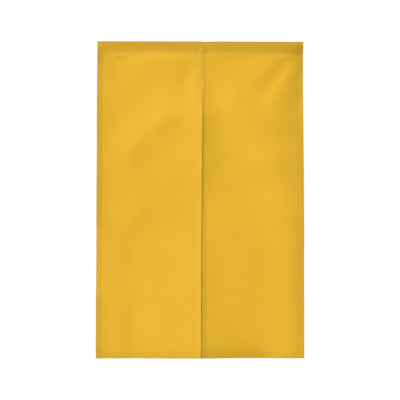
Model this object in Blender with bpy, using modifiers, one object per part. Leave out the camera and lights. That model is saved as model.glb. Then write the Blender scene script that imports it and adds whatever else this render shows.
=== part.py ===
"""A noren curtain as it hangs: two lengths of plain cloth, lapped at the middle and slit below.

Each panel is one sheet. It has a turned hem at both sides and at the foot, and its top is turned to the
back as half of a rod pocket that is open at both ends. The panels are joined in the lap, from the top
down to the head of the slit, and the left panel lies in front.

The origin is at the middle of the top edge. +X is to the right seen from the front, the front faces -Y,
and +Z is up.
"""

import math
from collections import namedtuple

import bmesh
import bpy
import numpy as np

MM = 0.001

# Cloth
COLOUR = (0.79, 0.46, 0.035, 1)
ROUGHNESS = 0.85
SHEET = 1.0 * MM
HEM_SHEET = 1.3 * MM
TUCK_GAP = 0.3 * MM
LAP_GAP = 0.5 * MM

# Outline, seen from the front
FOOT = -1300 * MM
RIGHT_INNER = 2 * MM
LAP_END = 9.5 * MM
SIDE_HEM = 24 * MM
FOOT_HEM = 23 * MM

# Points of the edges, in mm: depth below the top edge, then place across
LEFT_OUTER = [
    (0, -421.5), (240, -423.9), (450, -424.1), (650, -425.7), (860, -426.3), (1060, -428.1),
    (1300, -428.6),
]
LEFT_INNER = [(0, 9.5), (240, 9.8), (450, 8.4), (650, 6.1), (860, 4.0), (1300, 3.8)]
RIGHT_OUTER = [(0, 422.0), (240, 422.4), (450, 423.9), (650, 425.2), (860, 426.0), (1300, 426.9)]

# Rod pocket: a drop-shaped tube that closes at its seam. Its slim rod falls a little toward the right.
TUBE_RADIUS = 8 * MM
TUBE_SQUARE = 0.42
ROD_LEVEL_TO, ROD_END = -250 * MM, 422 * MM
ROD_FALL = 1.8 * MM
LEFT_FACE = -1.5 * MM
SET_BACK_FROM, SET_BACK_TO = 60 * MM, 340 * MM
SET_BACK = 3 * MM
RIGHT_FACE = LEFT_FACE + HEM_SHEET + LAP_GAP

# Points of the pocket's seam, in mm: place across, then depth below the top edge
SEAM_LINE = [
    (-425, 50), (-350, 47), (-247, 42), (-124, 41), (-42, 48), (48, 48), (122, 46), (245, 50), (347, 54),
    (425, 57),
]

# Points of the gap between the panels, from the slit's head down, in mm: depth below the top edge,
# then gap
SLIT_GAP = [(215, 0), (240, 0.3), (300, 0.7), (450, 1.0), (650, 2.4), (860, 2.4), (1300, 2.6)]

# Folds fade in below the pocket's seam, and on the right panel also beside the lap
SEAM_FADE = 32 * MM
RIGHT_CORNER_FROM, RIGHT_CORNER_TO = 345 * MM, 415 * MM
LEFT_CORNER_FROM, LEFT_CORNER_TO = -300 * MM, -390 * MM
LAP_FADE = 30 * MM
LAP_TUBE_FADE = 60 * MM

# Mesh of a panel, in cells
HEM_ROWS = 2
ACROSS_HEM = 2
ACROSS_CLOTH = 18
DOWN_CLOTH = 34
POCKET_WALL = 3
POCKET_ARC = 10
HEM_STEP = 1 * MM
ROW_GROWTH = 1.3

# A fold is a soft ridge, or a trough where its rise is under 0, along a line. Sizes are in mm.
Fold = namedtuple("Fold", "start_x start_z end_x end_z half_width rise")

LEFT_FOLDS = [
    # heading, and the ridge where the panels are joined
    Fold(-185, -80, -120, -76, 72, 2.9),
    Fold(-340, -94, -332, -84, 50, -2.8),
    Fold(14, -60, 14, -190, 60, 0.8),
    Fold(12, -225, 16, -320, 55, 2.6),
    # swags down to the outer edge
    Fold(-17, -262, -150, -318, 62, 2.2),
    Fold(-120, -190, -140, -300, 50, 1.4),
    Fold(-165, -335, -278, -448, 74, 4.4),
    Fold(-255, -330, -268, -400, 48, 1.4),
    Fold(-60, -440, -230, -600, 120, 2.4),
    # outer side
    Fold(-262, -700, -266, -730, 52, 2.6),
    Fold(-335, -850, -332, -1300, 40, 0.8),
    Fold(-268, -850, -272, -1300, 62, -1.8),
    Fold(-440, -60, -440, -720, 32, 3.4),
    Fold(-440, -1060, -440, -1700, 32, 3.4),
    Fold(-448, -260, -448, -780, 62, 2.2),
    # lean toward the slit, and the lifted edge there
    Fold(50, -340, 50, -500, 150, 5.2),
    Fold(-30, -330, -30, -400, 90, 2.6),
    Fold(60, -420, 60, -900, 210, 4.5),
    Fold(60, -1080, 60, -1700, 260, 9.0),
    Fold(25, -300, 25, -1700, 35, 4.3),
    Fold(-200, -1100, -200, -1700, 420, -4.5),
    # foot
    Fold(-430, -1335, 10, -1335, 50, -4.5),
]
RIGHT_FOLDS = [
    # heading: the ridge where the panels are joined, and creases that meet in a V
    Fold(12, -70, 12, -185, 58, 1.8),
    Fold(368, -50, 255, -190, 38, -2.2),
    Fold(150, -70, 195, -180, 85, -2.8),
    # swags from the corner and from the slit's head
    Fold(158, -268, 240, -460, 86, 8.0),
    Fold(300, -325, 322, -480, 70, 4.2),
    Fold(215, -345, 245, -620, 190, 6.5),
    Fold(325, -505, 335, -700, 80, 5.0),
    Fold(400, -520, 404, -800, 92, 5.5),
    # rise beside the slit
    Fold(0, -300, 0, -450, 90, 4.6),
    Fold(0, -420, 0, -1700, 380, 1.0),
    Fold(0, -980, 0, -1120, 260, 3.0),
    # outer side, where the edge falls back
    Fold(342, -770, 352, -850, 70, 2.2),
    Fold(350, -960, 352, -1300, 60, 2.4),
    Fold(425, -110, 402, -250, 60, -2.6),
    Fold(400, -200, 398, -370, 50, -1.5),
    Fold(455, -60, 455, -450, 58, -5.0),
    Fold(455, -880, 455, -1700, 58, -4.0),
    Fold(440, -60, 430, -230, 55, -4.5),
    # foot
    Fold(-10, -1335, 430, -1335, 50, -4.5),
    Fold(165, -1345, 235, -1345, 120, -10.5),
    Fold(175, -1322, 255, -1322, 45, -5.5),
]


def ease(start, end, value):
    """0 before start, 1 past end, and smooth between them."""
    t = np.clip((value - start) / (end - start), 0, 1)
    return t * t * (3 - 2 * t)


def fold_rise(folds, x, z):
    """The folds' rise toward the viewer at a point of the cloth."""
    total = 0.0
    for fold in folds:
        run_x, run_z = (fold.end_x - fold.start_x) * MM, (fold.end_z - fold.start_z) * MM
        from_x, from_z = x - fold.start_x * MM, z - fold.start_z * MM
        t = np.clip((from_x * run_x + from_z * run_z) / (run_x**2 + run_z**2), 0, 1)
        away = np.hypot(from_x - t * run_x, from_z - t * run_z)
        total = total + fold.rise * MM * np.exp(-((away / (fold.half_width * MM)) ** 2))
    return total


def along(line, place):
    """The second column of a line of points, where its first column is at a place."""
    first, second = zip(*line)
    return np.interp(place / MM, first, second) * MM


def left_rise(x, z):
    return fold_rise(LEFT_FOLDS, x, z)


def right_rise(x, z):
    """The right panel follows the left one in the lap, behind the slit's gap, and then its own folds."""
    inner = min(x, LAP_END)
    follow = left_rise(inner, z) - along(SLIT_GAP, -z) - fold_rise(RIGHT_FOLDS, inner, z)
    return fold_rise(RIGHT_FOLDS, x, z) + follow * math.exp((inner - x) / LAP_FADE)


def left_seam_bulk(x):
    """The left panel's turned layer passes behind both layers of the right one in the lap."""
    return 2 * (HEM_SHEET + LAP_GAP) * ease(RIGHT_INNER - SIDE_HEM, RIGHT_INNER, x)


def no_bulk(x):
    return 0.0


def left_tube(x):
    return TUBE_RADIUS


def right_tube(x):
    """The right panel's tube passes inside the left one's in the lap."""
    return TUBE_RADIUS - (HEM_SHEET + LAP_GAP) * ease(LAP_END + LAP_TUBE_FADE, LAP_END, x)


def rod_axis(x):
    return -TUBE_RADIUS - ROD_FALL * np.clip((x - ROD_LEVEL_TO) / (ROD_END - ROD_LEVEL_TO), 0, 1)


def seam_height(x):
    return -along(SEAM_LINE, x)


def set_back(x):
    """The cloth hangs a little further back toward the right end, so the heading leans more there."""
    return SET_BACK * np.clip((x - SET_BACK_FROM) / (SET_BACK_TO - SET_BACK_FROM), 0, 1)


def hang(x, z):
    """How far the folds have faded in. At both ends they reach up to the rod."""
    seam = seam_height(x)
    below = ease(seam, seam - SEAM_FADE, z)
    left = ease(LEFT_CORNER_FROM, LEFT_CORNER_TO, x)
    right = ease(RIGHT_CORNER_FROM, RIGHT_CORNER_TO, x)
    return max(below, left, right)


Panel = namedtuple("Panel", "name edge_1 edge_2 face rise bulk tube")

PANELS = [
    Panel("left_panel", LEFT_OUTER, LEFT_INNER, LEFT_FACE, left_rise, left_seam_bulk, left_tube),
    Panel("right_panel", [(0, RIGHT_INNER / MM)], RIGHT_OUTER, RIGHT_FACE, right_rise, no_bulk, right_tube),
]


def edges(panel, z):
    """Where the panel's two edges are at a height."""
    return along(panel.edge_1, -z), along(panel.edge_2, -z)


def column_places(width):
    """Distances across a panel, from its first edge: hem, cloth and hem, with a step line at each hem."""
    hem = np.linspace(0, SIDE_HEM - HEM_STEP / 2, ACROSS_HEM + 1)
    cloth = np.linspace(SIDE_HEM + HEM_STEP / 2, width - SIDE_HEM - HEM_STEP / 2, ACROSS_CLOTH + 1)
    return np.concatenate([hem, cloth, width - hem[::-1]])


def row_places(seam):
    """Heights of the rows from the foot to the pocket's seam, closer together near the seam."""
    share = (np.arange(DOWN_CLOTH, -1, -1) / DOWN_CLOTH) ** ROW_GROWTH
    hem_top = FOOT + FOOT_HEM + HEM_STEP / 2
    hem = np.linspace(FOOT, hem_top - HEM_STEP, HEM_ROWS)
    return np.concatenate([hem, seam - (seam - hem_top) * share])


def tangent_angle(y, z, radius, side):
    """The angle where a line from (y, z) touches a tube about the origin: side -1 front, 1 rear."""
    return math.atan2(z, y) + side * math.acos(radius / math.hypot(y, z))


def tube_point(angle, radius, axis):
    """A point of the tube, which is round below the rod's axis and squarer over it."""
    y, z = math.cos(angle), math.sin(angle)
    square = TUBE_SQUARE if z > 0 else 1
    across, up = math.copysign(abs(y) ** square, y), math.copysign(abs(z) ** square, z)
    return radius * across, axis + radius * up


def pocket_places(face, back, seam, radius, axis):
    """The pocket's outer line in (y, z): up the front wall, over the rod and down the back wall."""
    front = tangent_angle(face, seam - axis, radius, -1)
    rear = tangent_angle(back, seam - axis, radius, 1)
    if rear > front:
        front += 2 * math.pi
    arc = [tube_point(angle, radius, axis) for angle in np.linspace(front, rear, POCKET_ARC + 1)]
    wall = [k / POCKET_WALL for k in range(1, POCKET_WALL)]
    up = [(face + (arc[0][0] - face) * k, seam + (arc[0][1] - seam) * k) for k in wall]
    down = [(arc[-1][0] + (back - arc[-1][0]) * k, arc[-1][1] + (seam - arc[-1][1]) * k) for k in wall]
    return up + arc + down + [(back, seam)]


def column_points(panel, share, column):
    """The points of one column of a panel's face, from the foot up and over to the back seam."""
    top_1, top_2 = edges(panel, 0.0)
    seam = float(seam_height(top_1 + column_places(top_2 - top_1)[column]))
    points = []
    for z in row_places(seam):
        edge_1, edge_2 = edges(panel, z)
        x = edge_1 + column_places(edge_2 - edge_1)[column]
        points.append((x, panel.face + set_back(x) - hang(x, z) * panel.rise(x, z), z))
    x, face, seam = points[-1]
    back = face + 2 * share * HEM_SHEET + TUCK_GAP + panel.bulk(x)
    pocket = pocket_places(face, back, seam, panel.tube(x), rod_axis(x))
    return points + [(x, y, z) for y, z in pocket]


def cloth_material():
    material = bpy.data.materials.new("mustard_cloth")
    material.use_nodes = True
    shader = material.node_tree.nodes["Principled BSDF"]
    shader.inputs["Base Color"].default_value = COLOUR
    shader.inputs["Roughness"].default_value = ROUGHNESS
    shader.inputs["Metallic"].default_value = 0
    return material


def make_panel(panel, material, collection):
    """A grid laid over the panel's face, then given its thickness toward the back, more at the hems."""
    across = 2 * (ACROSS_HEM + 1) + ACROSS_CLOTH
    down = len(row_places(0.0)) + POCKET_ARC + 2 * POCKET_WALL - 1
    thin = SHEET / HEM_SHEET
    shell = bmesh.new()
    bmesh.ops.create_grid(shell, x_segments=across, y_segments=down, size=1)
    shares = {c: 1.0 if c <= ACROSS_HEM or c >= across - ACROSS_HEM else thin for c in range(across + 1)}
    columns = [column_points(panel, shares[c], c) for c in range(across + 1)]
    weights = []
    for vertex in shell.verts:
        column = round((vertex.co.x + 1) / 2 * across)
        row = round((vertex.co.y + 1) / 2 * down)
        vertex.co = columns[column][row]
        weights.append(1.0 if row < HEM_ROWS else shares[column])
    mesh = bpy.data.meshes.new(panel.name)
    shell.to_mesh(mesh)
    shell.free()
    mesh.materials.append(material)
    mesh.shade_smooth()

    sheet = bpy.data.objects.new(panel.name, mesh)
    collection.objects.link(sheet)
    group = sheet.vertex_groups.new(name="hem")
    for index, weight in enumerate(weights):
        group.add([index], weight, "REPLACE")
    solid = sheet.modifiers.new("thickness", "SOLIDIFY")
    solid.thickness = HEM_SHEET
    solid.offset = -1
    solid.use_even_offset = True
    solid.vertex_group = group.name
    return sheet


def main():
    for item in list(bpy.data.objects):
        bpy.data.objects.remove(item, do_unlink=True)
    curtain = bpy.data.collections.new("noren_curtain")
    bpy.context.scene.collection.children.link(curtain)
    cloth = cloth_material()
    for panel in PANELS:
        make_panel(panel, cloth, curtain)


main()
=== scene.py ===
"""The noren curtain's looks: two lapped lengths of plain woven cloth, with hems, a rod pocket and thread.

The cloth lies on the solids' folds and takes the finer creases here. Each panel is one sheet that is
turned to the back at its sides, at its foot and over the rod, as it is sewn.
"""

import math
from collections import namedtuple

import bpy
import numpy as np
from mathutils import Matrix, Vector


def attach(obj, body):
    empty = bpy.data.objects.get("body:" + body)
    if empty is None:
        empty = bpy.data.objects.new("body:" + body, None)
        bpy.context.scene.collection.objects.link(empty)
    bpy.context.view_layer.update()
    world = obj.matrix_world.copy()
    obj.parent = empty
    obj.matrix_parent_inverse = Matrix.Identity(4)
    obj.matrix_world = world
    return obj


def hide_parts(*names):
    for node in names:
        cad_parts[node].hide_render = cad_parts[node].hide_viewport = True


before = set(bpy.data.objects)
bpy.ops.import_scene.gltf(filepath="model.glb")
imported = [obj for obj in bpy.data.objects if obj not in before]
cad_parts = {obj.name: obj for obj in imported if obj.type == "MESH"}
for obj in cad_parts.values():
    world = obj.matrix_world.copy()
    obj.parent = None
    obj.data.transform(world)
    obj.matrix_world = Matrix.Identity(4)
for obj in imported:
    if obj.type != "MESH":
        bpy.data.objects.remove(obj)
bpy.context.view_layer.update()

MM = 0.001

# Cloth: a layer, then how far behind the front face the outermost layer lies near a fold, in a hem and
# in a corner. A turned layer's own edge is tucked in, so it is two layers thick there. Where the foot or
# the pocket crosses a side hem, the hem's extra layers end over HEM_EASE.
LAYER = 0.35 * MM
EDGE_STACK = 0.75 * MM
HEM_STACK = 1.1 * MM
CORNER_STACK = 3.4 * MM
TURNED_EDGE = 0.72 * MM
EDGE_ROUNDING = 0.35 * MM
TUCK_GAP = 0.3 * MM
LAP_GAP = 0.2 * MM
HEM_EASE = 4 * MM

# Outline, seen from the front
FOOT = -1300 * MM
RIGHT_INNER = 2 * MM
LAP_END = 9.5 * MM
SIDE_HEM = 24 * MM
RIGHT_HEM_EDGE = RIGHT_INNER + SIDE_HEM
SLIT_HEAD = -215 * MM

# Points of the edges, in mm: depth below the top edge, then place across
LEFT_OUTER = [
    (0, -421.5), (240, -423.9), (450, -424.1), (650, -425.7), (860, -426.3), (1060, -428.1),
    (1300, -428.6),
]
LEFT_INNER = [(0, 9.5), (240, 9.8), (450, 8.4), (650, 6.1), (860, 4.0), (1300, 3.8)]
RIGHT_OUTER = [(0, 422.0), (240, 422.4), (450, 423.9), (650, 425.2), (860, 426.0), (1300, 426.9)]

# Rod pocket: a drop-shaped tube, whose rod falls a little toward the right
TUBE_RADIUS = 8 * MM
TUBE_SQUARE = 0.42
ROD_LEVEL_TO, ROD_END = -250 * MM, 422 * MM
ROD_FALL = 1.8 * MM
LEFT_FACE = -1.5 * MM
SET_BACK_FROM, SET_BACK_TO = 60 * MM, 340 * MM
SET_BACK = 3 * MM
RIGHT_FACE = LEFT_FACE + EDGE_STACK + LAP_GAP

# Points of the pocket's seam, in mm: place across, then depth below the top edge
SEAM_LINE = [
    (-425, 50), (-350, 47), (-247, 42), (-124, 41), (-42, 48), (48, 48), (122, 46), (245, 50), (347, 54),
    (425, 57),
]

# Points of the gap between the panels, from the slit's head down, in mm: depth below the top edge,
# then gap
SLIT_GAP = [(215, 0), (240, 0.3), (300, 0.7), (450, 1.0), (650, 2.4), (860, 2.4), (1300, 2.6)]

# Folds fade in below the pocket's seam, and from higher up at both corners. The right panel leaves the
# left one's folds beside the lap, its tube regains its radius there, and the slit opens below its head.
SEAM_FADE = 32 * MM
RIGHT_CORNER_FROM, RIGHT_CORNER_TO = 345 * MM, 415 * MM
LEFT_CORNER_FROM, LEFT_CORNER_TO = -300 * MM, -390 * MM
LAP_FADE = 30 * MM
LAP_TUBE_FADE = 60 * MM
SLIT_FADE = 25 * MM

# Beside the left panel's edge the joined right panel comes forward, up to just below the rod, and falls
# back to its hem's edge. Past the hem it steps back a little more, and comes forward again slowly.
JOIN_RISE = 1.0 * MM
JOIN_STEP = 1.5 * MM
JOIN_TOP, JOIN_TOP_FADE = -10 * MM, 8 * MM
HEM_STEP = 1.0 * MM
HEM_STEP_FROM, HEM_STEP_TO, HEM_STEP_END = 18 * MM, 50 * MM, 210 * MM

# Along the slit's upper part the right panel lies a little further back beside the left panel's edge,
# rises from there to its hem's edge, and falls back slowly past it. Both fade in below the slit's head
# and out toward HEM_FOOT.
HEM_BACK, HEM_RISE = 0.6 * MM, 0.8 * MM
HEM_RISE_END = 150 * MM
HEM_FOOT, HEM_FADE = -680 * MM, 100 * MM

# The swelling of the heading's foot, where the lap's layers meet: its left foot, crest and right edge
# across, its top and foot, how soft its edges are, and its rise
KNOT_FROM, KNOT_CREST, KNOT_TO = -6 * MM, 8 * MM, 31.5 * MM
KNOT_TOP, KNOT_FOOT = -27 * MM, -50 * MM
KNOT_SOFT = 4 * MM
KNOT_RISE = 1.5 * MM

# Stitching. A stitch's points are a share of its half length, then a height over the cloth in thread
# radii. A pucker's waves are lengths in mm, then phases, and each seam starts them at its own place.
STITCH = 2.9 * MM
STITCH_PITCH = 3.3 * MM
THREAD_RADIUS = 0.17 * MM
STITCH_SIDES = 5
STITCH_ARC = [(-1, -1.1), (-0.72, 0.2), (0, 0.55), (0.72, 0.2), (1, -1.1)]
SIDE_SEAM_IN = 22 * MM
FOOT_SEAM_UP = 21 * MM
JOIN_SEAM_IN = 3.5 * MM
SEAM_DIP = 0.35 * MM
SEAM_DIP_WIDTH = 1.8 * MM
POCKET_DIP = 0.5
PUCKER = 0.22 * MM
PUCKER_WIDTH = 9 * MM
PUCKER_WAVES = [(4.1, 0), (6.3, 1.3), (15.7, 0.4)]
RIGHT_SIDE_AHEAD, POCKET_AHEAD = 1.0, 2.0

# Darkening along the outer edges, the foot and the top, part wear and part painted shade: how strong it
# is, and the width that it fades over
WEAR_AND_SHADE_WIDTH = 5 * MM
LEFT_WEAR_AND_SHADE, RIGHT_WEAR_AND_SHADE, FOOT_WEAR_AND_SHADE, TOP_WEAR_AND_SHADE = 1.0, 0.4, 0.3, 5.0

# Weave and thread: the yarn's pitch, how fine the thick and thin places of the yarns are along both
# ways, how fine the dye's, the edge darkening's (wear and painted shade) and the twist's unevenness is,
# the relief's parts and depth, the linear colours, and the share of light that goes through the cloth
YARN = 0.6 * MM
WARP_SLUB, WEFT_SLUB = (1500, 45, 1), (30, 1500, 1)
DYE_SCALE, WEAR_AND_SHADE_SCALE, TWIST_SCALE = 9.0, 40.0, 900.0
YARN_SHARE, SLUB_SHARE = 0.6, 0.5
WEAVE_RELIEF, TWIST_RELIEF = 0.12 * MM, 0.05 * MM
CLOTH_DEEP, CLOTH_PALE = (0.81, 0.475, 0.024, 1), (0.92, 0.57, 0.035, 1)
# The darker colour below is part wear and part painted shade at the edges and the top.
CLOTH_WORN_AND_SHADED = (0.56, 0.32, 0.02, 1)
THREAD_DEEP, THREAD_PALE = (0.62, 0.33, 0.02, 1), (0.78, 0.44, 0.035, 1)
LIGHT_THROUGH = 0.22

# Light: each sun's direction, strength and softness in degrees, then the fill from below and from above,
# and the white behind the object
KEY_SUN = ((-1.83, -1.0, 1.17), 4.28, 55)
BACK_SUN = ((1.9, 0.75, 0.9), 1.6, 30)
FILL_BELOW, FILL_ABOVE = 0.36, 0.60
BACKDROP = 1.02
WHITE = (1, 1, 1, 1)

# Camera: its distance, what it looks at in x and z, and the width of the cloth's plane in its frame
CAMERA_DISTANCE = 6.0
VIEW_X, VIEW_Z = -1.2 * MM, -650.2 * MM
VIEW_WIDTH = 1.6398
LENS_WIDTH = 36.0

# Floor: half its width, and its height
FLOOR_HALF, FLOOR_LEVEL = 3.0, -2.05

# Mesh of a panel: its cell, and the places of the lines beside its hems and seams, in mm. A hem's places
# are in from its fold: first those of its turned layer, then those of the front. A turned layer's first
# TUCKED_LINES lie on its tucked edge, which stays one layer thick at the foot and in the pocket where a
# column's share in a side hem is over CROSSING_HEM.
CELL = 4.6 * MM
WRAP_STEPS = 6
SIDE_TURNED = (24, 23.5, 22, 16, 13, 3.5, 0.9)
SIDE_TURNED_DEPTH = [HEM_STACK - EDGE_ROUNDING] + [HEM_STACK] * 3 + [EDGE_STACK] * 3
SIDE_FRONT = (0.9, 3.5, 7, 10.2, 11.6, 13.5, 15.5, 17.5, 20.4, 22, 23.6, 26)
FOOT_TURNED = (23, 22.5, 21, 16, 10, 5)
FOOT_FRONT = (5, 10, 15, 19.4, 21, 22.6, 25)
BELOW_POCKET_SEAM = (9, 6.5, 4.2, 2.6, 1.3, 0)
POCKET_EDGE = (1.3, 2.5, 3)
POCKET_WALL_STEPS = 10
POCKET_ARC_STEPS = 18
POCKET_SOFTNESS = 0.12
TUCKED_LINES = 3
CROSSING_HEM = 0.02

# A fold is a soft ridge, or a trough where its rise is under 0, along a line. Sizes are in mm.
Fold = namedtuple("Fold", "start_x start_z end_x end_z half_width rise")

LEFT_FOLDS = [
    # heading, and the ridge where the panels are joined
    Fold(-185, -80, -120, -76, 72, 2.9),
    Fold(-340, -94, -332, -84, 50, -2.8),
    Fold(14, -60, 14, -190, 60, 0.8),
    Fold(12, -225, 16, -320, 55, 2.6),
    # swags down to the outer edge
    Fold(-17, -262, -150, -318, 62, 2.2),
    Fold(-120, -190, -140, -300, 50, 1.4),
    Fold(-165, -335, -278, -448, 74, 4.4),
    Fold(-255, -330, -268, -400, 48, 1.4),
    Fold(-60, -440, -230, -600, 120, 2.4),
    # outer side
    Fold(-262, -700, -266, -730, 52, 2.6),
    Fold(-335, -850, -332, -1300, 40, 0.8),
    Fold(-268, -850, -272, -1300, 62, -1.8),
    Fold(-440, -60, -440, -720, 32, 3.4),
    Fold(-440, -1060, -440, -1700, 32, 3.4),
    Fold(-448, -260, -448, -780, 62, 2.2),
    # lean toward the slit, and the lifted edge there
    Fold(50, -340, 50, -500, 150, 5.2),
    Fold(-30, -330, -30, -400, 90, 2.6),
    Fold(60, -420, 60, -900, 210, 4.5),
    Fold(60, -1080, 60, -1700, 260, 9.0),
    Fold(25, -300, 25, -1700, 35, 4.3),
    Fold(-200, -1100, -200, -1700, 420, -4.5),
    # foot
    Fold(-430, -1335, 10, -1335, 50, -4.5),
]
RIGHT_FOLDS = [
    # heading: the ridge where the panels are joined, and creases that meet in a V
    Fold(12, -70, 12, -185, 58, 1.8),
    Fold(368, -50, 255, -190, 38, -2.2),
    Fold(150, -70, 195, -180, 85, -2.8),
    # swags from the corner and from the slit's head
    Fold(158, -268, 240, -460, 86, 8.0),
    Fold(300, -325, 322, -480, 70, 4.2),
    Fold(215, -345, 245, -620, 190, 6.5),
    Fold(325, -505, 335, -700, 80, 5.0),
    Fold(400, -520, 404, -800, 92, 5.5),
    # rise beside the slit
    Fold(0, -300, 0, -450, 90, 4.6),
    Fold(0, -420, 0, -1700, 380, 1.0),
    Fold(0, -980, 0, -1120, 260, 3.0),
    # outer side, where the edge falls back
    Fold(342, -770, 352, -850, 70, 2.2),
    Fold(350, -960, 352, -1300, 60, 2.4),
    Fold(425, -110, 402, -250, 60, -2.6),
    Fold(400, -200, 398, -370, 50, -1.5),
    Fold(455, -60, 455, -450, 58, -5.0),
    Fold(455, -880, 455, -1700, 58, -4.0),
    Fold(440, -60, 430, -230, 55, -4.5),
    # foot
    Fold(-10, -1335, 430, -1335, 50, -4.5),
    Fold(165, -1345, 235, -1345, 120, -10.5),
    Fold(175, -1322, 255, -1322, 45, -5.5),
]

# Finer creases, which the solids leave out
LEFT_CREASES = [
    Fold(-432, -50, -432, -60, 22, 4.0),
    Fold(-12, -55, -66, -160, 30, -1.2),
]
RIGHT_CREASES = [
    Fold(64, -120, 100, -190, 32, 0.5),
    # both sides of the V's right arm, and below its point
    Fold(310, -82, 236, -172, 28, 1.1),
    Fold(358, -94, 275, -208, 28, -1.3),
    Fold(235, -244, 175, -254, 32, -1.3),
    # beside the outer edge
    Fold(426, -114, 402, -148, 22, -1.6),
]


def ease(start, end, value):
    """0 before start, 1 past end, and smooth between them."""
    t = np.clip((value - start) / (end - start), 0, 1)
    return t * t * (3 - 2 * t)


def bump(distance, half_width):
    return np.exp(-((distance / half_width) ** 2))


def fold_rise(folds, x, z):
    """The folds' rise toward the viewer at points of the cloth."""
    total = 0.0
    for fold in folds:
        run_x, run_z = (fold.end_x - fold.start_x) * MM, (fold.end_z - fold.start_z) * MM
        from_x, from_z = x - fold.start_x * MM, z - fold.start_z * MM
        t = np.clip((from_x * run_x + from_z * run_z) / (run_x**2 + run_z**2), 0, 1)
        away = np.hypot(from_x - t * run_x, from_z - t * run_z)
        total = total + fold.rise * MM * bump(away, fold.half_width * MM)
    return total


def along(line, place):
    """The second column of a line of points, where its first column is at a place."""
    first, second = zip(*line)
    return np.interp(place / MM, first, second) * MM


def left_rise(x, z):
    return fold_rise(LEFT_FOLDS + LEFT_CREASES, x, z)


def right_rise(x, z):
    """The right panel follows the left one in the lap, behind the slit's gap, and then its own folds."""
    inner = np.minimum(x, LAP_END)
    follow = left_rise(inner, z) - along(SLIT_GAP, -z) - fold_rise(RIGHT_FOLDS, inner, z)
    own = fold_rise(RIGHT_FOLDS + RIGHT_CREASES, x, z)
    return own + follow * np.exp((inner - x) / LAP_FADE) + hem_rise(x, z)


def hem_rise(x, z):
    """The right panel's hem along the slit, and the step beside it where the panels are joined."""
    above_foot = ease(HEM_FOOT, HEM_FOOT + HEM_FADE, z)
    below_head = ease(SLIT_HEAD, SLIT_HEAD - HEM_FADE, z)
    in_slit = ease(SLIT_HEAD, SLIT_HEAD - SLIT_FADE, z)
    rise = HEM_RISE * ease(LAP_END, RIGHT_HEM_EDGE, x) * ease(HEM_RISE_END, RIGHT_HEM_EDGE, x)
    back = HEM_BACK * above_foot * in_slit * ease(RIGHT_HEM_EDGE, LAP_END, x)
    step = HEM_STEP * ease(HEM_STEP_FROM, HEM_STEP_TO, x) * ease(HEM_STEP_END, HEM_STEP_TO, x)
    return rise * above_foot * below_head - back - step * (1 - below_head)


def join_rise(x, z):
    """The joined right panel's ridge, from the left panel's edge to its own hem's edge."""
    joined = ease(SLIT_HEAD - SLIT_FADE, SLIT_HEAD, z) * ease(JOIN_TOP, JOIN_TOP - JOIN_TOP_FADE, z)
    beside = ease(LAP_END, LAP_END + JOIN_STEP, x) * ease(RIGHT_HEM_EDGE, LAP_END, x)
    return JOIN_RISE * joined * beside


def no_join(x, z):
    return 0 * x


def left_seam_bulk(x):
    """The left panel's turned layer passes behind both layers of the right one in the lap."""
    return 2 * (HEM_STACK + LAP_GAP) * ease(RIGHT_INNER - LAP_FADE, RIGHT_INNER, x)


def no_bulk(x):
    return 0 * x


def left_tube(x):
    return TUBE_RADIUS + 0 * x


def right_tube(x):
    """The right panel's tube passes inside the left one's in the lap."""
    return TUBE_RADIUS - (HEM_STACK + LAP_GAP) * ease(LAP_END + LAP_TUBE_FADE, LAP_END, x)


def rod_axis(x):
    return -TUBE_RADIUS - ROD_FALL * np.clip((x - ROD_LEVEL_TO) / (ROD_END - ROD_LEVEL_TO), 0, 1)


def seam_height(x):
    return -along(SEAM_LINE, x)


def set_back(x):
    """The cloth hangs a little further back toward the right end, so the heading leans more there."""
    return SET_BACK * np.clip((x - SET_BACK_FROM) / (SET_BACK_TO - SET_BACK_FROM), 0, 1)


def hang(x, z):
    """How far the folds have faded in. At both ends they reach up to the rod."""
    seam = seam_height(x)
    below = ease(seam, seam - SEAM_FADE, z)
    left = ease(LEFT_CORNER_FROM, LEFT_CORNER_TO, x)
    right = ease(RIGHT_CORNER_FROM, RIGHT_CORNER_TO, x)
    return np.maximum(below, np.maximum(left, right))


Panel = namedtuple("Panel", "side edge_1 edge_2 face rise join bulk tube")

LEFT = Panel("left", LEFT_OUTER, LEFT_INNER, LEFT_FACE, left_rise, no_join, left_seam_bulk, left_tube)
RIGHT = Panel(
    "right", [(0, RIGHT_INNER / MM)], RIGHT_OUTER, RIGHT_FACE, right_rise, join_rise, no_bulk, right_tube
)


def edges(panel, z):
    """Where the panel's two edges are at a height."""
    return along(panel.edge_1, -z), along(panel.edge_2, -z)


def pucker(place):
    """An uneven wave of thread tension along a seam, from -1 to 1."""
    waves = [np.sin(place / (length * MM) + phase) for length, phase in PUCKER_WAVES]
    return sum(waves) / len(waves)


def seam_dip(away, place):
    """The hollow that a line of stitches pulls into the face, and the puckers beside it."""
    return SEAM_DIP * bump(away, SEAM_DIP_WIDTH) + PUCKER * bump(away, PUCKER_WIDTH) * pucker(place)


def front_face(panel, x, z):
    """The y of the panel's front face, from the pocket's seam down."""
    seam = seam_height(x)
    edge_1, edge_2 = edges(panel, z)
    dips = (
        seam_dip(x - edge_1 - SIDE_SEAM_IN, z)
        + seam_dip(edge_2 - SIDE_SEAM_IN - x, z + RIGHT_SIDE_AHEAD)
        + seam_dip(z - FOOT - FOOT_SEAM_UP, x)
        + POCKET_DIP * seam_dip(seam - z, x + POCKET_AHEAD)
    )
    return panel.face + set_back(x) - hang(x, z) * panel.rise(x, z) - panel.join(x, z) + dips


# Columns across a panel: x = edge 1 + offset + share * width, on a layer at some depth behind the face
Columns = namedtuple("Columns", "offset share depth thickness in_hem")


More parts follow.
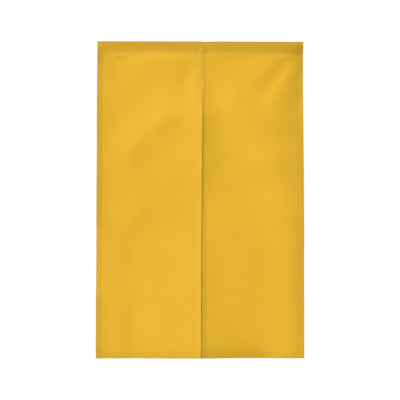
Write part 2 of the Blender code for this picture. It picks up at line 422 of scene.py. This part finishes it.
def hem_columns():
    """One side hem from its turned inner edge, round the fold to the front: offset, depth, thickness."""
    turned, front = np.array(SIDE_TURNED) * MM, np.array(SIDE_FRONT) * MM
    turn = np.linspace(0, math.pi, WRAP_STEPS + 1)
    radius = EDGE_STACK / 2
    wrap, wrap_depth = radius * (1 - np.sin(turn)), radius * (1 + np.cos(turn))
    offset = np.concatenate([turned, wrap, front])
    depth = np.concatenate([SIDE_TURNED_DEPTH, wrap_depth, 0 * front])
    thickness = np.where(np.arange(len(offset)) < TUCKED_LINES, TURNED_EDGE, LAYER)
    return offset, depth, thickness


def panel_columns(panel):
    """Both side hems, and evenly spaced columns between them."""
    edge_1, edge_2 = edges(panel, 0.0)
    width = edge_2 - edge_1
    hem, hem_depth, hem_thickness = hem_columns()
    count = round((width - 2 * hem[-1]) / CELL)
    cloth_share = np.arange(1, count) / count
    offset = np.concatenate([hem, hem[-1] * (1 - 2 * cloth_share), -hem[::-1]])
    share = np.concatenate([0 * hem, cloth_share, 0 * hem + 1])
    depth = np.concatenate([hem_depth, 0 * cloth_share, hem_depth[::-1]])
    thickness = np.concatenate([hem_thickness, 0 * cloth_share + LAYER, hem_thickness[::-1]])
    inward = offset + share * width
    in_hem = ease(SIDE_HEM + HEM_EASE, SIDE_HEM, np.minimum(inward, width - inward))
    return Columns(offset, share, depth, thickness, in_hem)


def place_across(panel, columns, z):
    edge_1, edge_2 = edges(panel, z)
    return edge_1 + columns.offset + columns.share * (edge_2 - edge_1)


def foot_rows(panel, columns):
    """The foot's hem as rows of y and z: down its turned layer, then round its fold to the front."""
    stack = HEM_STACK + columns.in_hem * (CORNER_STACK - HEM_STACK)
    rows_y, rows_z = [], []
    for up in FOOT_TURNED:
        z = FOOT + up * MM + 0 * stack
        rounding = EDGE_ROUNDING if up == FOOT_TURNED[0] else 0
        rows_y.append(front_face(panel, place_across(panel, columns, z), z) + stack - rounding)
        rows_z.append(z)
    centre = FOOT + stack / 2
    face = front_face(panel, place_across(panel, columns, centre), centre)
    for turn in np.linspace(0, math.pi, WRAP_STEPS + 1):
        rows_y.append(face + stack / 2 * (1 + math.cos(turn)))
        rows_z.append(centre - stack / 2 * math.sin(turn))
    return rows_y, rows_z


def face_rows(panel, columns):
    """The front face as rows of y and z, from the foot's hem up to the pocket's seam."""
    seam = seam_height(place_across(panel, columns, 0 * columns.offset))
    low = [FOOT + up * MM + 0 * seam for up in FOOT_FRONT]
    high = [seam - down * MM for down in BELOW_POCKET_SEAM]
    count = round((high[0].mean() - low[-1].mean()) / CELL)
    between = [low[-1] + (high[0] - low[-1]) * k / count for k in range(1, count)]
    rows_z = low + between + high
    return [front_face(panel, place_across(panel, columns, z), z) for z in rows_z], rows_z


def tangent_angle(y, z, radius, side):
    """The angle where a line from (y, z) touches a tube about the origin: side -1 front, 1 rear."""
    return np.arctan2(z, y) + side * np.arccos(radius / np.hypot(y, z))


def knot_rise(x, z):
    """The rise of the swelling at the lap: it curves down to its right edge and ends in a step there."""
    down = np.sqrt(1 - np.clip((x - KNOT_CREST) / (KNOT_TO - KNOT_CREST), 0, 1) ** 2)
    height = ease(KNOT_TOP, KNOT_TOP - KNOT_SOFT, z) * ease(KNOT_FOOT, KNOT_FOOT + KNOT_SOFT, z)
    return KNOT_RISE * ease(KNOT_FROM, KNOT_CREST, x) * down * height


def pocket_rows(panel, x, face, back):
    """The pocket as rows of y and z: up the front wall, over the rod and down the back to its edge."""
    seam, axis, radius = seam_height(x), rod_axis(x), panel.tube(x)
    face = face + panel.join(x, seam)
    front = tangent_angle(face, seam - axis, radius, -1)
    rear = tangent_angle(back, seam - axis, radius, 1)
    front = np.where(rear > front, front + 2 * math.pi, front)
    share = np.linspace(0, 1, POCKET_ARC_STEPS + 1)[:, None]
    angle = front + (rear - front) * share
    cosine, sine = np.cos(angle), np.sin(angle)
    square = np.where(sine > 0, TUBE_SQUARE, 1)
    arc_y = radius * np.sign(cosine) * np.abs(cosine) ** square
    arc_z = axis + radius * np.sign(sine) * np.abs(sine) ** square

    up = (np.arange(1, POCKET_WALL_STEPS) / POCKET_WALL_STEPS)[:, None]
    soft = np.hypot(up, POCKET_SOFTNESS) - POCKET_SOFTNESS
    soft = soft / (math.hypot(1, POCKET_SOFTNESS) - POCKET_SOFTNESS)
    wall_z = seam + (arc_z[0] - seam) * up
    wall_y = face + (arc_y[0] - face) * soft - knot_rise(x, wall_z) - panel.join(x, wall_z)
    down = (np.arange(1, POCKET_WALL_STEPS + 1) / POCKET_WALL_STEPS)[:, None]
    back_y, back_z = arc_y[-1] + (back - arc_y[-1]) * down, arc_z[-1] + (seam - arc_z[-1]) * down
    edge_z = seam - np.array(POCKET_EDGE)[:, None] * MM
    edge_y = back - np.array([0, 0, EDGE_ROUNDING])[:, None] + 0 * edge_z
    return np.concatenate([wall_y, arc_y, back_y, edge_y]), np.concatenate([wall_z, arc_z, back_z, edge_z])


def edge_wear_and_shade(x, z):
    """How darkened the cloth is by wear and by painted shade, by its distance from each outer edge."""
    from_edges = (
        (LEFT_WEAR_AND_SHADE, x - along(LEFT_OUTER, -z)),
        (RIGHT_WEAR_AND_SHADE, along(RIGHT_OUTER, -z) - x),
        (FOOT_WEAR_AND_SHADE, z - FOOT),
        (TOP_WEAR_AND_SHADE, rod_axis(x) + TUBE_RADIUS - z),
    )
    return np.max([strength * bump(away, WEAR_AND_SHADE_WIDTH) for strength, away in from_edges], axis=0)


# A panel's outer face as a grid of points, its way out at each point, and what its looks need there,
# with its darkening by wear and painted shade
Surface = namedtuple("Surface", "points outward place wear thickness seam_row")


def panel_surface(panel):
    """The foot's hem, the face and the pocket joined into one grid, with the side hems turned back."""
    columns = panel_columns(panel)
    foot_y, foot_z = foot_rows(panel, columns)
    face_y, face_z = face_rows(panel, columns)
    top = place_across(panel, columns, face_z[-1])
    layers = LAYER + columns.in_hem * (2 * HEM_STACK - 2 * LAYER) + LAYER
    back = face_y[-1] + layers + TUCK_GAP + panel.bulk(top)
    pocket_y, pocket_z = pocket_rows(panel, top, face_y[-1], back)
    y = np.concatenate([np.array(foot_y + face_y), pocket_y])
    z = np.concatenate([np.array(foot_z + face_z), pocket_z])
    x = place_across(panel, columns, z)

    run_y, run_z = np.gradient(y, axis=0), np.gradient(z, axis=0)
    length = np.hypot(run_y, run_z)
    y = y + columns.depth * run_z / length
    z = z - columns.depth * run_y / length
    step_down = np.hypot(np.diff(y, axis=0), np.diff(z, axis=0))
    down = np.vstack([0 * length[:1], np.cumsum(step_down, axis=0)])
    across = np.cumsum(np.append(0, np.hypot(np.diff(x[len(x) // 2]), np.diff(columns.depth))))

    points = np.stack([x, y, z], axis=-1)
    outward = np.cross(np.gradient(points, axis=1), np.gradient(points, axis=0))
    outward = outward / np.linalg.norm(outward, axis=-1, keepdims=True)
    wear = edge_wear_and_shade(x, z)
    thickness = np.tile(columns.thickness, (len(x), 1))
    tucked = np.where(columns.in_hem > CROSSING_HEM, LAYER, TURNED_EDGE)
    thickness[:TUCKED_LINES] = thickness[-TUCKED_LINES:] = tucked
    place = np.stack([across + 0 * x, down, 0 * x], axis=-1)
    return Surface(points, outward, place, wear, thickness, len(foot_y + face_y) - 1)


def grid_faces(rows, columns):
    corner = (np.arange(rows - 1)[:, None] * columns + np.arange(columns - 1)).ravel()
    return np.stack([corner, corner + 1, corner + columns + 1, corner + columns], axis=1)


def new_piece(name, points, faces, material):
    mesh = bpy.data.meshes.new(name)
    mesh.from_pydata(points.reshape(-1, 3), [], faces)
    mesh.shade_smooth()
    mesh.materials.append(material)
    piece = bpy.data.objects.new(name, mesh)
    bpy.context.scene.collection.objects.link(piece)
    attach(piece, "root")
    return piece


def make_cloth(panel, surface, material):
    faces = grid_faces(*surface.wear.shape).tolist()
    cloth = new_piece(panel.side + "_cloth", surface.points, faces, material)
    place = cloth.data.attributes.new("cloth_place", "FLOAT_VECTOR", "POINT")
    place.data.foreach_set("vector", surface.place.ravel())
    # How far wear and painted shade darken the cloth at each point
    wear = cloth.data.attributes.new("wear", "FLOAT", "POINT")
    wear.data.foreach_set("value", surface.wear.ravel())
    group = cloth.vertex_groups.new(name="layers")
    share = (surface.thickness / TURNED_EDGE).ravel()
    for weight in np.unique(share):
        group.add(np.flatnonzero(share == weight).tolist(), float(weight), "REPLACE")
    solid = cloth.modifiers.new("thickness", "SOLIDIFY")
    solid.thickness = TURNED_EDGE
    solid.offset = -1
    solid.vertex_group = group.name
    return cloth


# Grid lines that stitches follow, counted from a panel's nearer side or from its foot
FOLD_LINES = WRAP_STEPS + 1
TURNED_SEAM = SIDE_TURNED.index(SIDE_SEAM_IN / MM)
TURNED_JOIN = SIDE_TURNED.index(JOIN_SEAM_IN / MM)
FRONT_START = len(SIDE_TURNED) + FOLD_LINES
FRONT_SEAM = FRONT_START + SIDE_FRONT.index(SIDE_SEAM_IN / MM)
FRONT_JOIN = FRONT_START + SIDE_FRONT.index(JOIN_SEAM_IN / MM)
FOOT_START = len(FOOT_TURNED) + FOLD_LINES
FOOT_BACK_SEAM = FOOT_TURNED.index(FOOT_SEAM_UP / MM)
FOOT_SEAM = FOOT_START + FOOT_FRONT.index(FOOT_SEAM_UP / MM)
POCKET_BACK_SEAM = -1 - len(POCKET_EDGE)


def seam_line(surface, seam):
    """The points of a line of stitches, and the way out at each."""
    return surface.points[seam], surface.outward[seam]


def panel_seams(surface):
    """The lines of stitches on a panel, by slices of its grid: sides, foot and pocket, front and back."""
    whole, front = slice(None), slice(FRONT_START, -FRONT_START)
    below = slice(FOOT_START, surface.seam_row)
    for column in (FRONT_SEAM, -1 - FRONT_SEAM):
        yield seam_line(surface, (whole, column))
    for column in (TURNED_SEAM, -1 - TURNED_SEAM):
        yield seam_line(surface, (below, column))
    for row in (FOOT_BACK_SEAM, FOOT_SEAM, surface.seam_row, POCKET_BACK_SEAM):
        yield seam_line(surface, (row, front))


def join_seams(left, right):
    """The seam that joins the panels, in front of the left one and behind the right one."""
    for surface, column in ((left, -1 - FRONT_JOIN), (right, TURNED_JOIN)):
        level = surface.points[:, column, 2]
        rows = [row for row in range(FOOT_START, surface.seam_row) if level[row] > SLIT_HEAD]
        yield seam_line(surface, (slice(rows[0], rows[-1]), column))


def seam_stitches(line, outward):
    """The middle, half run and way out of each stitch on a line of points."""
    reach = np.append(0, np.cumsum(np.linalg.norm(np.diff(line, axis=0), axis=1)))
    middle = np.arange(STITCH_PITCH / 2, reach[-1], STITCH_PITCH)

    def at(values, place):
        return np.stack([np.interp(place, reach, column) for column in values.T], axis=-1)

    run = at(line, middle + STITCH / 2) - at(line, middle - STITCH / 2)
    return at(line, middle), run / 2, at(outward, middle)


def stitch_faces(count):
    """The faces of a number of stitches: the sides of each short tube, and a cap at both its ends."""
    rings, sides = len(STITCH_ARC), range(STITCH_SIDES)
    one = [[j + STITCH_SIDES * ring for j in sides] for ring in range(rings)]
    faces = [one[0], one[-1][::-1]]
    for low, high in zip(one, one[1:]):
        faces += [[low[j - 1], high[j - 1], high[j], low[j]] for j in sides]
    size = rings * STITCH_SIDES
    return [[corner + size * k for corner in face] for k in range(count) for face in faces]


def make_stitching(name, lines, material):
    """Every stitch of some seams: a short tube of thread that comes out of the cloth and goes back in."""
    stitches = [seam_stitches(line, outward) for line, outward in lines]
    middle, run, out = (np.concatenate(part)[:, None, None] for part in zip(*stitches))
    side = np.cross(run, out)
    side = side / np.linalg.norm(side, axis=-1, keepdims=True)
    share, height = (np.array(column)[None, :, None, None] for column in zip(*STITCH_ARC))
    turn = (2 * math.pi * np.arange(STITCH_SIDES) / STITCH_SIDES)[None, None, :, None]
    around = side * np.cos(turn) + out * (np.sin(turn) + height)
    points = middle + run * share + THREAD_RADIUS * around
    stitching = new_piece(name, points, stitch_faces(len(middle)), material)
    return stitching


# The places of a Mix node's colour sockets
MIX_FACTOR, MIX_FIRST, MIX_SECOND, MIX_RESULT = 0, 6, 7, 2


class Graph:
    """Builds a material's nodes. Numbers and sockets go in by an input's place or name."""

    def __init__(self, name):
        self.material = bpy.data.materials.new(name)
        self.material.use_nodes = True
        self.nodes = self.material.node_tree.nodes
        self.links = self.material.node_tree.links
        self.shader = self.nodes["Principled BSDF"]
        self.output = self.nodes["Material Output"]

    def put(self, node, inputs):
        for key, value in inputs.items():
            if isinstance(value, bpy.types.NodeSocket):
                self.links.new(value, node.inputs[key])
            else:
                node.inputs[key].default_value = value

    def add(self, kind, inputs, **settings):
        node = self.nodes.new(kind)
        for key, value in settings.items():
            setattr(node, key, value)
        self.put(node, inputs)
        return node

    def math(self, operation, *values):
        return self.add("ShaderNodeMath", dict(enumerate(values)), operation=operation).outputs[0]

    def weigh(self, first, first_weight, second, second_weight):
        """The sum of two values, each times its weight."""
        first = self.math("MULTIPLY", first, first_weight)
        return self.math("ADD", first, self.math("MULTIPLY", second, second_weight))

    def noise(self, vector, scale, detail=2.0):
        noise = self.add("ShaderNodeTexNoise", {"Vector": vector, "Scale": scale, "Detail": detail})
        return noise.outputs["Fac"]

    def stretch(self, vector, scale):
        return self.add("ShaderNodeMapping", {"Vector": vector, "Scale": scale}).outputs[0]

    def spread(self, value, low, high):
        ends = {"Value": value, "To Min": low, "To Max": high}
        return self.add("ShaderNodeMapRange", ends).outputs[0]

    def mix(self, factor, first, second):
        inputs = {MIX_FACTOR: factor, MIX_FIRST: first, MIX_SECOND: second}
        return self.add("ShaderNodeMix", inputs, data_type="RGBA").outputs[MIX_RESULT]


def cloth_material():
    """Plain weave with thick and thin yarns, a soft unevenness of the dye and a little light through it."""
    graph = Graph("mustard_weave")
    place = graph.add("ShaderNodeAttribute", {}, attribute_name="cloth_place").outputs["Vector"]
    parts = graph.add("ShaderNodeSeparateXYZ", {"Vector": place})
    across = graph.math("MULTIPLY", parts.outputs[0], math.pi / YARN)
    down = graph.math("MULTIPLY", parts.outputs[1], math.pi / YARN)
    sin_across, sin_down = graph.math("SINE", across), graph.math("SINE", down)
    warp, weft = graph.math("ABSOLUTE", sin_across), graph.math("ABSOLUTE", sin_down)
    crossing = graph.math("MULTIPLY", sin_across, sin_down)
    warp_over = graph.math("GREATER_THAN", crossing, 0.0)
    weft_over = graph.math("SUBTRACT", 1.0, warp_over)
    over = graph.weigh(warp, warp_over, weft, weft_over)

    warp_slub = graph.noise(graph.stretch(place, WARP_SLUB), 1.0)
    weft_slub = graph.noise(graph.stretch(place, WEFT_SLUB), 1.0)
    slub = graph.weigh(warp_slub, warp_over, weft_slub, weft_over)
    dye = graph.noise(place, DYE_SCALE, detail=3.0)
    shade = graph.math("ADD", graph.spread(slub, -0.35, 0.35), graph.spread(dye, 0.2, 0.8))
    clean = graph.mix(shade, CLOTH_DEEP, CLOTH_PALE)
    # Wear and painted shade darken the cloth near its edges and its top, in patches
    wear = graph.add("ShaderNodeAttribute", {}, attribute_name="wear").outputs["Fac"]
    patches = graph.spread(graph.noise(place, WEAR_AND_SHADE_SCALE), 0.1, 0.5)
    colour = graph.mix(graph.math("MULTIPLY", wear, patches), clean, CLOTH_WORN_AND_SHADED)

    height = graph.weigh(over, YARN_SHARE, slub, SLUB_SHARE)
    relief = graph.add("ShaderNodeBump", {"Strength": 0.35, "Distance": WEAVE_RELIEF, "Height": height})
    graph.put(
        graph.shader,
        {
            "Base Color": colour,
            "Roughness": graph.spread(over, 0.92, 0.78),
            "Normal": relief.outputs[0],
            "Sheen Weight": 0.12,
            "Sheen Roughness": 0.5,
            "Specular IOR Level": 0.25,
        },
    )
    through = graph.add("ShaderNodeBsdfTranslucent", {"Color": colour, "Normal": relief.outputs[0]})
    both = {0: LIGHT_THROUGH, 1: graph.shader.outputs[0], 2: through.outputs[0]}
    graph.put(graph.output, {"Surface": graph.add("ShaderNodeMixShader", both).outputs[0]})
    return graph.material


def thread_material():
    """Twisted sewing thread, a shade deeper than the cloth."""
    graph = Graph("mustard_thread")
    wave = {"Vector": graph.add("ShaderNodeTexCoord", {}).outputs["Object"], "Scale": TWIST_SCALE}
    twist = graph.add("ShaderNodeTexWave", wave, bands_direction="DIAGONAL").outputs["Fac"]
    relief = graph.add("ShaderNodeBump", {"Strength": 0.4, "Distance": TWIST_RELIEF, "Height": twist})
    colour = graph.mix(twist, THREAD_DEEP, THREAD_PALE)
    roughness = graph.spread(twist, 0.75, 0.6)
    graph.put(graph.shader, {"Base Color": colour, "Roughness": roughness, "Normal": relief.outputs[0]})
    return graph.material


def make_floor():
    """A pale floor that sends no light back up at the cloth."""
    mesh = bpy.data.meshes.new("floor")
    signs = ((-1, -1), (1, -1), (1, 1), (-1, 1))
    mesh.from_pydata([(FLOOR_HALF * x, FLOOR_HALF * y, FLOOR_LEVEL) for x, y in signs], [], [(0, 1, 2, 3)])
    graph = Graph("pale_floor")
    graph.put(graph.shader, {"Base Color": (0.8, 0.8, 0.8, 1), "Roughness": 0.8})
    mesh.materials.append(graph.material)
    floor = bpy.data.objects.new("floor", mesh)
    bpy.context.scene.collection.objects.link(floor)
    floor.visible_diffuse = False


def make_sun(name, toward, strength, softness):
    """A soft sun that shines from a direction."""
    light = bpy.data.lights.new(name, "SUN")
    light.energy = strength
    light.angle = math.radians(softness)
    lamp = bpy.data.objects.new(name, light)
    lamp.rotation_mode = "QUATERNION"
    lamp.rotation_quaternion = Vector(toward).to_track_quat("Z", "Y")
    bpy.context.scene.collection.objects.link(lamp)


def make_world():
    """White behind the object, and a softer white as the fill light."""
    world = bpy.data.worlds.new("studio")
    bpy.context.scene.world = world
    world.use_nodes = True
    nodes, links = world.node_tree.nodes, world.node_tree.links
    seen = nodes["Background"]
    seen.inputs["Color"].default_value = WHITE
    seen.inputs["Strength"].default_value = BACKDROP
    fill = nodes.new("ShaderNodeBackground")
    fill.inputs["Color"].default_value = WHITE
    direction = nodes.new("ShaderNodeTexCoord")
    parts = nodes.new("ShaderNodeSeparateXYZ")
    lift = nodes.new("ShaderNodeMapRange")
    links.new(direction.outputs["Generated"], parts.inputs[0])
    links.new(parts.outputs["Z"], lift.inputs["Value"])
    for name, value in {"From Min": -1, "From Max": 1, "To Min": FILL_BELOW, "To Max": FILL_ABOVE}.items():
        lift.inputs[name].default_value = value
    links.new(lift.outputs[0], fill.inputs["Strength"])
    path = nodes.new("ShaderNodeLightPath")
    either = nodes.new("ShaderNodeMixShader")
    links.new(path.outputs["Is Camera Ray"], either.inputs[0])
    links.new(fill.outputs[0], either.inputs[1])
    links.new(seen.outputs[0], either.inputs[2])
    links.new(either.outputs[0], nodes["World Output"].inputs["Surface"])


def make_camera():
    """Square on and far off, with the whole cloth in the frame."""
    data = bpy.data.cameras.new("camera")
    data.sensor_width = LENS_WIDTH
    data.lens = LENS_WIDTH * CAMERA_DISTANCE / VIEW_WIDTH
    camera = bpy.data.objects.new("camera", data)
    camera.location = (VIEW_X, -CAMERA_DISTANCE, VIEW_Z)
    camera.rotation_euler = (math.radians(90), 0, 0)
    bpy.context.scene.collection.objects.link(camera)
    bpy.context.scene.camera = camera


bpy.context.scene.view_settings.view_transform = "Standard"
make_camera()
make_world()
make_floor()
make_sun("key", *KEY_SUN)
make_sun("back", *BACK_SUN)

weave = cloth_material()
thread = thread_material()
surfaces = [panel_surface(panel) for panel in (LEFT, RIGHT)]
lap_stitching = make_stitching("lap_stitching", join_seams(*surfaces), thread)
for panel, surface in zip((LEFT, RIGHT), surfaces):
    sewn = [make_stitching(panel.side + "_stitching", panel_seams(surface), thread)]
    if panel.side == "left":
        sewn.append(lap_stitching)
    cloth = make_cloth(panel, surface, weave)
    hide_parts(panel.side + "_panel")
